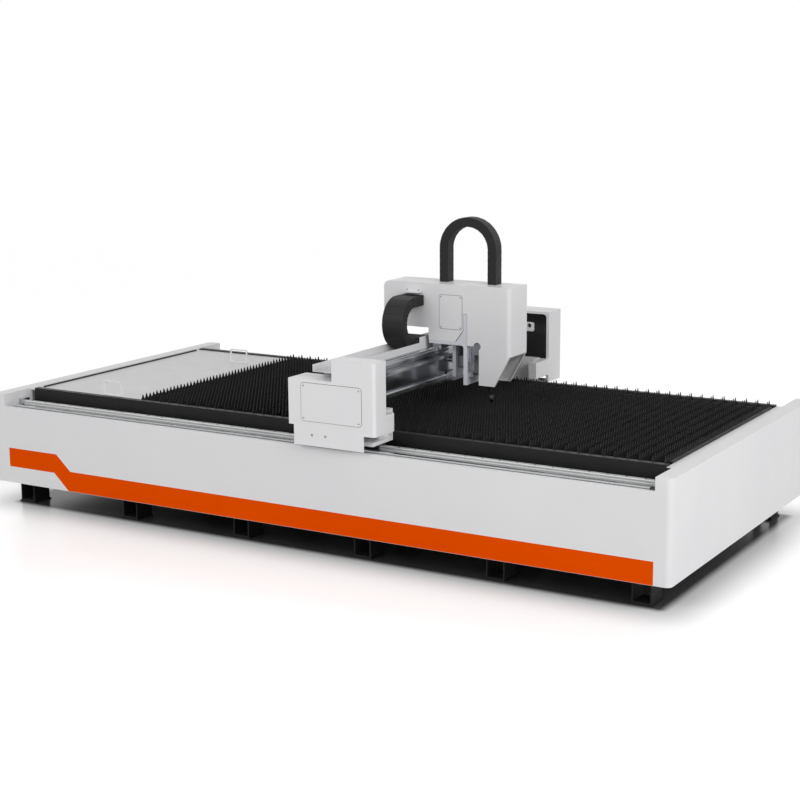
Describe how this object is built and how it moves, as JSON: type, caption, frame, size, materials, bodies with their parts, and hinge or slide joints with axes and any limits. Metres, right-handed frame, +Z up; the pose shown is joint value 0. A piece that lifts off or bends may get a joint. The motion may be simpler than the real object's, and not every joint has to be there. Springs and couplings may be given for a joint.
{
  "type": "laser cutting machine",
  "caption": "Open-bed fiber laser cutting machine: saw-tooth slat table, gantry that runs along the bed, cross carriage with a vertical cutting head and energy chains.",
  "frame": {"origin": "on the floor, under the middle of the bed", "axes": "+X along the bed to the right as the operator sees it, +Y from the operator's side to the back, +Z up"},
  "size_m": [4.6, 2.368, 1.8629],
  "materials": {
    "bed_paint": "satin light grey powder coat",
    "frame_paint": "dark satin paint",
    "table_black": "black satin paint",
    "slat_steel": "dark mill-scale steel",
    "plate_paint": "smooth light grey",
    "ring_paint": "white gloss",
    "rail_steel": "ground and polished",
    "block_steel": "ground",
    "saddle_paint": "satin white",
    "cover_paint": "satin white powder coat",
    "tray_paint": "satin white",
    "beam_aluminium": "anodised, brushed",
    "carriage_metal": "satin light grey",
    "chain_plastic": "black glass-filled nylon",
    "motor_black": "black satin",
    "gearbox_steel": "satin",
    "screw_steel": "zinc plated",
    "head_black": "black anodised",
    "drawer_metal": "satin",
    "ceramic_white": "glazed white",
    "nozzle_brass": "turned"
  },
  "bodies": {
    "bed": {"main_frame": "frame_paint", "support_feet": "frame_paint", "front_panel": "bed_paint", "back_panel": "bed_paint", "left_end_cap": "bed_paint", "right_end_cap": "bed_paint", "front_slat_beam": "table_black", "back_slat_beam": "table_black", "bed_end_beams": "table_black", "slats": "slat_steel", "slat_support_bars": "frame_paint", "slag_pans": "frame_paint", "table_plate": "plate_paint", "plate_handles": "ring_paint", "infill_strips": "bed_paint", "x_rails": "rail_steel", "x_racks": "rail_steel", "rail_end_stops": "rail_steel"},
    "gantry": {"x_bearing_blocks": "block_steel", "front_saddle": "saddle_paint", "back_saddle": "saddle_paint", "x_gearboxes": "gearbox_steel", "x_servo_motors": "motor_black", "gantry_beam": "beam_aluminium", "beam_end_plates": "beam_aluminium", "rear_hose_bracket": "saddle_paint", "y_rails": "rail_steel", "y_rack": "rail_steel", "cable_tray": "tray_paint", "front_cover": "cover_paint", "front_access_panel": "cover_paint", "back_cover": "cover_paint", "cover_screws": "screw_steel"},
    "carriage": {"carriage_plate": "carriage_metal", "y_bearing_blocks": "block_steel", "y_gearbox": "gearbox_steel", "y_servo_motor": "motor_black", "head_cover": "cover_paint", "head_access_panel": "cover_paint", "head_screws": "screw_steel", "chain_bracket": "cover_paint", "y_energy_chain": "chain_plastic", "z_energy_chain": "chain_plastic", "z_rails": "rail_steel", "z_screw_bearings": "block_steel", "z_servo_motor": "motor_black"},
    "z_head": {"z_bearing_blocks": "block_steel", "z_slide_plate": "beam_aluminium", "z_screw_nut": "rail_steel", "head_bracket": "beam_aluminium", "collimator": "head_black", "focus_body": "head_black", "lens_drawer": "drawer_metal", "nozzle_body": "head_black", "ceramic_ring": "ceramic_white", "nozzle": "nozzle_brass"},
    "x_pinion_front": {"x_pinion_front": "rail_steel"},
    "x_pinion_back": {"x_pinion_back": "rail_steel"},
    "y_pinion": {"y_pinion": "rail_steel"},
    "z_ball_screw": {"z_ball_screw": "rail_steel"}
  },
  "joints": [
    {"name": "gantry_slide", "type": "slide", "parent": "bed", "child": "gantry", "axis": [1, 0, 0], "range_m": [-1.88, 1.17]},
    {"name": "carriage_slide", "type": "slide", "parent": "gantry", "child": "carriage", "axis": [0, 1, 0], "range_m": [-0.68, 0.84]},
    {"name": "head_slide", "type": "slide", "parent": "carriage", "child": "z_head", "axis": [0, 0, 1], "range_m": [-0.005, 0.095]},
    {"name": "front_pinion_spin", "type": "hinge", "parent": "gantry", "child": "x_pinion_front", "pos_m": [0.12, -1.0573, 0.7], "axis": [0, 0, 1], "range_deg": [-3048.1, 4897.2]},
    {"name": "back_pinion_spin", "type": "hinge", "parent": "gantry", "child": "x_pinion_back", "pos_m": [0.12, 1.0573, 0.7], "axis": [0, 0, 1], "range_deg": [-4897.2, 3048.1]},
    {"name": "cross_pinion_spin", "type": "hinge", "parent": "carriage", "child": "y_pinion", "pos_m": [0.46, 0.0125, 0.9918], "axis": [1, 0, 0], "range_deg": [-1949.1, 2407.4]},
    {"name": "ball_screw_spin", "type": "hinge", "parent": "carriage", "child": "z_ball_screw", "pos_m": [0.604, -0.0275, 1.055], "axis": [0, 0, 1], "range_deg": [-3421, 181]}
  ],
  "couplings": [
    {"joint": "front_pinion_spin", "follows": "gantry_slide", "rad_per_m": -45.455},
    {"joint": "back_pinion_spin", "follows": "gantry_slide", "rad_per_m": 45.455},
    {"joint": "cross_pinion_spin", "follows": "carriage_slide", "rad_per_m": 50},
    {"joint": "ball_screw_spin", "follows": "head_slide", "rad_per_m": -628.32}
  ]
}
